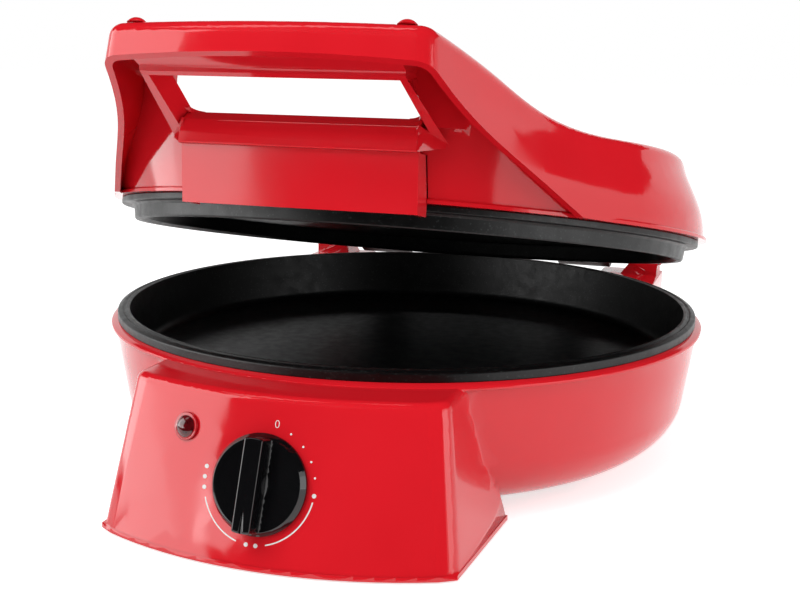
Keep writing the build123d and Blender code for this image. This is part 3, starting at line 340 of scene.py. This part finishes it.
finishOf = {
    "red_housing": redGloss,
    "red_caps": redGloss,
    "black_coating": nonStick,
    "black_gloss": knobBlack,
    "red_lens": lensRed,
    "lamp_glass": neonGlass,
    "dark_rubber": rubberBlack,
    "black_plastic": mattBlack,
    "zinc_screws": zincPlate,
    "bare_steel": plainSteel,
    "reflector_sheet": brightSheet,
    "pale_ceramic": ceramicCream,
    "bush_brass": brassTurned,
    "fuse_can": zincPlate,
    "wire_sleeve": wireSleeve,
}
slotOf = {part["node"]: part["material_slot"] for part in frame["record"]["subparts"]}
bodyOf = {node: body for body, members in frame["record"]["behaviour"]["bodies"].items() for node in members}


def setFinish(thing, material):
    thing.data.materials.clear()
    thing.data.materials.append(material)


for name, thing in nodes.items():
    setFinish(thing, finishOf[slotOf[name]])


# smooth copies of the parts whose faces are curved

smoothing = {
    "weldWithin": 2e-6,
    "thinnest": 1e-6,  # edges shorter than this are dissolved
    "crispFrom": 32.0,  # faces that meet at more than this angle keep a crisp edge
    "crisper": {"lid_shell": 20.0, "handle_insert": 20.0},
}
smoothed = [
    "base_shell", "lid_shell", "handle_insert", "baking_pan", "upper_plate", "control_knob", "hinge_blocks",
    "indicator_lens", "lid_rest_feet", "hinge_pins", "hinge_caps", "cord_gland", "rear_pads", "front_pads",
]


def smoothCopy(name):
    mesh = nodes[name].data.copy()
    work = bmesh.new()
    work.from_mesh(mesh)
    bmesh.ops.remove_doubles(work, verts=work.verts, dist=smoothing["weldWithin"])
    bmesh.ops.dissolve_degenerate(work, dist=smoothing["thinnest"], edges=work.edges)
    work.to_mesh(mesh)
    work.free()
    mesh.shade_smooth()
    mesh.set_sharp_from_angle(angle=math.radians(smoothing["crisper"].get(name, smoothing["crispFrom"])))
    thing = addThing(name + "_finished", mesh)
    thing.modifiers.new("even shading", "WEIGHTED_NORMAL").keep_sharp = True
    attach(thing, bodyOf[name])
    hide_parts(name)
    return thing


finished = {name: smoothCopy(name) for name in smoothed}
print("stage 3: smooth parts", len(finished))


# marks printed round the knob; angles run clockwise from the top of the dial

marks = {
    "radius": 0.026,
    "aside": -0.0012,  # from the knob's axis to the middle of the dial
    "thickness": 0.00008,
    "dotRadius": 0.00048,
    "bigDotRadius": 0.00095,
    "dotSides": 20,
    "smallDots": (29.4, 46.4, 62.5, 78.0),
    "bigDots": (94.5, 174.8, 184.8, 260.4, 270.4, 280.4),
    "arcs": ((100.5, 165.0), (195.6, 251.0)),
    "arcStep": 2.5,
    "lineWidth": 0.0006,
    "zeroAngle": 13.0,
    "zeroHeight": 0.0036,
    "zeroOutward": 0.0008,
    "zeroThinner": 0.00009,
    "figureShare": 0.72,  # height of a figure as a share of the font's size
    "castFrom": 0.03,  # height above the knob's centre from which a point is put on the panel
    "weldWithin": 1e-7,
    "ink": ((0.78, 0.78, 0.77), (0.86, 0.86, 0.85)),
    "inkNoise": 900.0,
    "inkRough": 0.4,
}

bpy.context.view_layer.update()
panelTree = BVHTree.FromObject(finished["base_shell"], bpy.context.evaluated_depsgraph_get())


def onPanel(across, up, rise=0.0):
    start = knobPos + panelRight * across + panelUp * up + panelOut * marks["castFrom"]
    return panelTree.ray_cast(start, -panelOut)[0] + panelOut * rise


def dialPoint(angle, radius):
    turn = math.radians(angle)
    return marks["aside"] + radius * math.sin(turn), radius * math.cos(turn)


def inkFinish(name):
    material = newMaterial(name)
    feed(material, "Base Color", tint(material, noiseOn(material, marks["inkNoise"]), *marks["ink"]))
    shaderOf(material).inputs["Roughness"].default_value = marks["inkRough"]
    return material


def plainCopy(holder, name):
    graph = bpy.context.evaluated_depsgraph_get()
    mesh = bpy.data.meshes.new_from_object(holder.evaluated_get(graph))
    bpy.data.objects.remove(holder)
    return addThing(name, mesh)


def cleanMesh(thing):
    work = bmesh.new()
    work.from_mesh(thing.data)
    bmesh.ops.remove_doubles(work, verts=work.verts, dist=marks["weldWithin"])
    bmesh.ops.recalc_face_normals(work, faces=work.faces)
    work.to_mesh(thing.data)
    work.free()


# a flat disc on every point, scaled by the point's "size"
def dotTree():
    tree = bpy.data.node_groups.new("dots at points", "GeometryNodeTree")
    sockets = tree.interface
    sockets.new_socket("Geometry", in_out="INPUT", socket_type="NodeSocketGeometry")
    sockets.new_socket("Dot Radius", in_out="INPUT", socket_type="NodeSocketFloat")
    sockets.new_socket("Thickness", in_out="INPUT", socket_type="NodeSocketFloat")
    sockets.new_socket("Outward", in_out="INPUT", socket_type="NodeSocketVector")
    sockets.new_socket("Ink", in_out="INPUT", socket_type="NodeSocketMaterial")
    sockets.new_socket("Geometry", in_out="OUTPUT", socket_type="NodeSocketGeometry")
    new = tree.nodes.new
    link = tree.links.new
    given = new("NodeGroupInput")
    out = new("NodeGroupOutput")
    disc = new("GeometryNodeMeshCylinder")
    disc.inputs["Vertices"].default_value = marks["dotSides"]
    size = new("GeometryNodeInputNamedAttribute")
    size.data_type = "FLOAT"
    size.inputs["Name"].default_value = "size"
    align = new("FunctionNodeAlignRotationToVector")
    align.axis = "Z"
    place = new("GeometryNodeInstanceOnPoints")
    real = new("GeometryNodeRealizeInstances")
    ink = new("GeometryNodeSetMaterial")
    link(given.outputs["Dot Radius"], disc.inputs["Radius"])
    link(given.outputs["Thickness"], disc.inputs["Depth"])
    link(given.outputs["Geometry"], place.inputs["Points"])
    link(disc.outputs["Mesh"], place.inputs["Instance"])
    link(given.outputs["Outward"], align.inputs["Vector"])
    link(align.outputs["Rotation"], place.inputs["Rotation"])
    link(size.outputs["Attribute"], place.inputs["Scale"])
    link(place.outputs["Instances"], real.inputs["Geometry"])
    link(real.outputs["Geometry"], ink.inputs["Geometry"])
    link(given.outputs["Ink"], ink.inputs["Material"])
    link(ink.outputs["Geometry"], out.inputs["Geometry"])
    return tree


# a modifier's inputs go by their identifiers; here they are given by name, without spaces
def setInputs(modifier, **values):
    for item in modifier.node_group.interface.items_tree:
        label = item.name.replace(" ", "")
        if item.in_out == "INPUT" and label in values:
            modifier[item.identifier] = values[label]


def dialDots(ink):
    bigger = marks["bigDotRadius"] / marks["dotRadius"]
    placed = [(angle, 1.0) for angle in marks["smallDots"]]
    placed += [(angle, bigger) for angle in marks["bigDots"]]
    points = [onPanel(*dialPoint(angle, marks["radius"]), marks["thickness"] / 2) for angle, size in placed]
    mesh = bpy.data.meshes.new("dial_dots")
    mesh.from_pydata([tuple(point) for point in points], [], [])
    sizes = mesh.attributes.new("size", "FLOAT", "POINT")
    for item, (angle, size) in zip(sizes.data, placed):
        item.value = size
    holder = addThing("dialDotsHolder", mesh)
    modifier = holder.modifiers.new("dots", "NODES")
    modifier.node_group = dotTree()
    setInputs(modifier, DotRadius=marks["dotRadius"], Thickness=2 * marks["thickness"])
    setInputs(modifier, Outward=tuple(panelOut), Ink=ink)
    return plainCopy(holder, "dial_dots")


# each arc is a thin bar: four corners at every step, from the inner low one to the outer high one
def dialArcs():
    points = []
    faces = []
    for start, end in marks["arcs"]:
        steps = int((end - start) / marks["arcStep"])
        first = len(points)
        last = first + 4 * steps
        for step in range(steps + 1):
            angle = start + (end - start) * step / steps
            for side in (-0.5, 0.5):
                spot = dialPoint(angle, marks["radius"] + side * marks["lineWidth"])
                for rise in (-marks["thickness"], marks["thickness"]):
                    points.append(tuple(onPanel(*spot, rise)))
        for near in range(first, last, 4):
            far = near + 4
            for one, other in ((0, 1), (1, 3), (3, 2), (2, 0)):
                faces.append((near + one, near + other, far + other, far + one))
        faces.append((first, first + 2, first + 3, first + 1))
        faces.append((last, last + 1, last + 3, last + 2))
    mesh = bpy.data.meshes.new("dial_arcs")
    mesh.from_pydata(points, [], faces)
    thing = addThing("dial_arcs", mesh)
    cleanMesh(thing)
    return thing


def dialZero():
    text = bpy.data.curves.new("zero", "FONT")
    text.body = "0"
    text.align_x = "CENTER"
    text.align_y = "CENTER"
    text.size = marks["zeroHeight"] / marks["figureShare"]
    text.extrude = marks["thickness"]
    text.offset = -marks["zeroThinner"]
    thing = plainCopy(addThing("zeroHolder", text), "dial_zero")
    across, up = dialPoint(marks["zeroAngle"], marks["radius"] + marks["zeroOutward"])
    for vertex in thing.data.vertices:
        x, y, z = vertex.co
        vertex.co = onPanel(across + x, up + y, z)
    cleanMesh(thing)
    return thing


whiteInk = inkFinish("white ink")
for piece in (dialDots(whiteInk), dialArcs(), dialZero()):
    setFinish(piece, whiteInk)
    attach(piece, "base")
print("stage 4: panel marks made")


# floor and background

backdrop = {
    "floorSize": 14.0,
    "floorColour": 0.86,
    "floorGlow": 0.66,  # added where the camera, a reflection or glass sees the floor
    "worldLevel": 0.50,  # for the rays that light the object; the others see white
}


# 1 for camera, glossy and transmission rays, 0 for the rays that light the object
def seenDirectly(material):
    paths = addNode(material, "ShaderNodeLightPath")
    either = addNode(material, "ShaderNodeMath", operation="MAXIMUM")
    anyOfThree = addNode(material, "ShaderNodeMath", operation="MAXIMUM")
    join(material, paths.outputs["Is Camera Ray"], either.inputs[0])
    join(material, paths.outputs["Is Glossy Ray"], either.inputs[1])
    join(material, either.outputs[0], anyOfThree.inputs[0])
    join(material, paths.outputs["Is Transmission Ray"], anyOfThree.inputs[1])
    return anyOfThree.outputs[0]


# white emission for the surfaces of the studio
def whiteGlow(material, strength=1.0):
    glow = addNode(material, "ShaderNodeEmission")
    glow.inputs["Color"].default_value = (1, 1, 1, 1)
    glow.inputs["Strength"].default_value = strength
    return glow


def useSurface(material, outSocket):
    join(material, outSocket, material.node_tree.nodes["Material Output"].inputs["Surface"])
    material.node_tree.nodes.remove(shaderOf(material))


def makeFloor():
    half = backdrop["floorSize"] / 2
    corners = [(-half, -half, 0), (half, -half, 0), (half, half, 0), (-half, half, 0)]
    mesh = bpy.data.meshes.new("floor")
    mesh.from_pydata(corners, [], [(0, 1, 2, 3)])
    material = newMaterial("white floor")
    grey = backdrop["floorColour"]
    diffuse = addNode(material, "ShaderNodeBsdfDiffuse")
    diffuse.inputs["Color"].default_value = (grey, grey, grey, 1)
    strength = addNode(material, "ShaderNodeMath", operation="MULTIPLY")
    strength.inputs[1].default_value = backdrop["floorGlow"]
    join(material, seenDirectly(material), strength.inputs[0])
    glow = whiteGlow(material)
    join(material, strength.outputs[0], glow.inputs["Strength"])
    both = addNode(material, "ShaderNodeAddShader")
    join(material, diffuse.outputs[0], both.inputs[0])
    join(material, glow.outputs[0], both.inputs[1])
    useSurface(material, both.outputs[0])
    mesh.materials.append(material)
    return addThing("floor", mesh)


def makeWorld():
    world = bpy.data.worlds.new("studio")
    world.use_nodes = True
    scene.world = world
    back = world.node_tree.nodes["Background"]
    back.inputs["Color"].default_value = (1, 1, 1, 1)
    level = addNode(world, "ShaderNodeMapRange")
    level.inputs["To Min"].default_value = backdrop["worldLevel"]
    level.inputs["To Max"].default_value = 1.0
    join(world, seenDirectly(world), level.inputs["Value"])
    join(world, level.outputs["Result"], back.inputs["Strength"])


# place round the object, at an azimuth that runs from the front to the right
def around(azimuth, distance, height):
    turn = math.radians(azimuth)
    return (distance * math.sin(turn), -distance * math.cos(turn), height)


# lights; the panels and the strip only show as reflections

aimPoint = (0, 0, 0.08)
softboxes = {
    "key light": dict(place=(-0.35, -1.0, 1.15), aim=aimPoint, width=1.1, height=0.8, watts=12.6),
    "right fill": dict(place=around(88, 1.3, 0.55), aim=aimPoint, width=0.9, height=0.7, watts=6.0),
    "top strip": dict(place=(-0.35, -0.25, 1.3), aim=(0, 0, 0.1), width=0.25, height=0.9, watts=1.6,
                      seenBy="gloss"),
}
panels = {
    "left panel": dict(azimuth=-56, distance=0.62, low=0.0, high=0.62, width=0.60, radiance=3.7),
    "low left panel": dict(azimuth=-30, distance=1.0, low=0.02, high=0.15, width=0.25, radiance=3.7),
    "right panel": dict(azimuth=72, distance=0.95, low=0.0, high=0.50, width=0.55, radiance=2.1),
}


def softbox(name, place, aim, width, height, watts, seenBy="all"):
    light = bpy.data.lights.new(name, "AREA")
    light.shape = "RECTANGLE"
    light.size = width
    light.size_y = height
    light.energy = watts
    thing = addThing(name, light)
    thing.location = place
    thing.rotation_euler = (Vector(aim) - Vector(place)).to_track_quat("-Z", "Y").to_euler()
    thing.visible_camera = False
    thing.visible_diffuse = seenBy != "gloss"
    thing.visible_glossy = seenBy == "gloss"
    return thing


# upright softbox beside the object, between two heights
def reflectionPanel(name, azimuth, distance, low, high, width, radiance):
    height = high - low
    place = around(azimuth, distance, (low + high) / 2)
    watts = radiance * math.pi * width * height
    return softbox(name, place, (0, 0, place[2]), width, height, watts, "gloss")


# dark surround and front floor cloth that keep the white background out of most reflections

curtain = {
    "radius": 3.0,
    "middleHeight": 0.1,
    "steps": 72,
    "rings": 6,
    "level": 0.015,
    # azimuth from the front, lowest elevation
    "edge": [(-180, 24), (-85, 24), (-80, 8), (-25, -2), (40, -2), (62, 12), (90, 16), (180, 24)],
    # azimuth from the front, distance
    "cloth": [(-70, 0.37), (-40, 0.35), (-10, 0.30), (10, 0.30), (42, 0.33),
              (42, 2.9), (10, 2.9), (-30, 2.9), (-70, 2.9)],
    "clothHeight": 0.0015,
}


def edgeAt(azimuth):
    edge = curtain["edge"]
    for (start, low), (end, high) in zip(edge, edge[1:]):
        if start <= azimuth <= end:
            return low + (high - low) * (azimuth - start) / (end - start)
    return edge[-1][1]


def makeCurtains():
    points = []
    faces = []
    radius = curtain["radius"]
    steps = curtain["steps"]
    rings = curtain["rings"]
    for step in range(steps + 1):
        azimuth = -180 + 360 * step / steps
        low = edgeAt(azimuth)
        for ring in range(rings + 1):
            lift = math.radians(low + (90 - low) * ring / rings)
            height = curtain["middleHeight"] + radius * math.sin(lift)
            points.append(around(azimuth, radius * math.cos(lift), height))
    for step in range(steps):
        for ring in range(rings):
            near = step * (rings + 1) + ring
            far = near + rings + 1
            faces.append((near, near + 1, far + 1, far))
    first = len(points)
    points += [around(azimuth, distance, curtain["clothHeight"]) for azimuth, distance in curtain["cloth"]]
    faces.append(tuple(range(first, len(points))))
    mesh = bpy.data.meshes.new("curtains")
    mesh.from_pydata(points, [], faces)
    material = newMaterial("dark curtain")
    useSurface(material, whiteGlow(material, curtain["level"]).outputs[0])
    mesh.materials.append(material)
    thing = addThing("curtains", mesh)
    for kind in ("camera", "diffuse", "shadow", "transmission", "volume_scatter"):
        setattr(thing, "visible_" + kind, False)
    return thing


floor = makeFloor()
makeWorld()
curtains = makeCurtains()
lights = [softbox(name, **values) for name, values in softboxes.items()]
lights += [reflectionPanel(name, **values) for name, values in panels.items()]


# camera at the photographed angle, aimed above the middle of the pan

camera = {
    "azimuth": 17.99,
    "elevation": 10.07,
    "roll": 0.76,
    "distance": 0.7029,
    "aimHeight": 0.100,
    "hingeToAim": 0.176,
    "focalPixels": 1230.9,
    "imageSize": (800, 600),
    "centre": (407.3, 262.35),  # pixel at which the camera's axis meets the picture
    "sensor": 36.0,
    "clip": (0.02, 40),
}


def makeCamera():
    wide, high = camera["imageSize"]
    centreX, centreY = camera["centre"]
    data = bpy.data.cameras.new("camera")
    data.sensor_width = camera["sensor"]
    data.lens = camera["focalPixels"] * camera["sensor"] / wide
    data.shift_x = (wide / 2 - centreX) / wide
    data.shift_y = (centreY - high / 2) / wide
    data.clip_start, data.clip_end = camera["clip"]
    azimuth = math.radians(camera["azimuth"])
    elevation = math.radians(camera["elevation"])
    roll = math.radians(camera["roll"])
    level = math.cos(elevation)
    back = Vector((math.sin(azimuth) * level, -math.cos(azimuth) * level, math.sin(elevation)))
    right = Vector((math.cos(azimuth), math.sin(azimuth), 0))
    up = back.cross(right)
    turnedRight = right * math.cos(roll) + up * math.sin(roll)
    turnedUp = up * math.cos(roll) - right * math.sin(roll)
    aim = Vector((0, hingePos.y - camera["hingeToAim"], camera["aimHeight"]))
    place = aim + back * camera["distance"]
    thing = addThing("camera", data)
    thing.matrix_world = Matrix((
        (turnedRight.x, turnedUp.x, back.x, place.x),
        (turnedRight.y, turnedUp.y, back.y, place.y),
        (turnedRight.z, turnedUp.z, back.z, place.z),
        (0, 0, 0, 1)))
    scene.camera = thing


makeCamera()
scene.view_settings.view_transform = "Standard"
print("stage 5: studio ready")
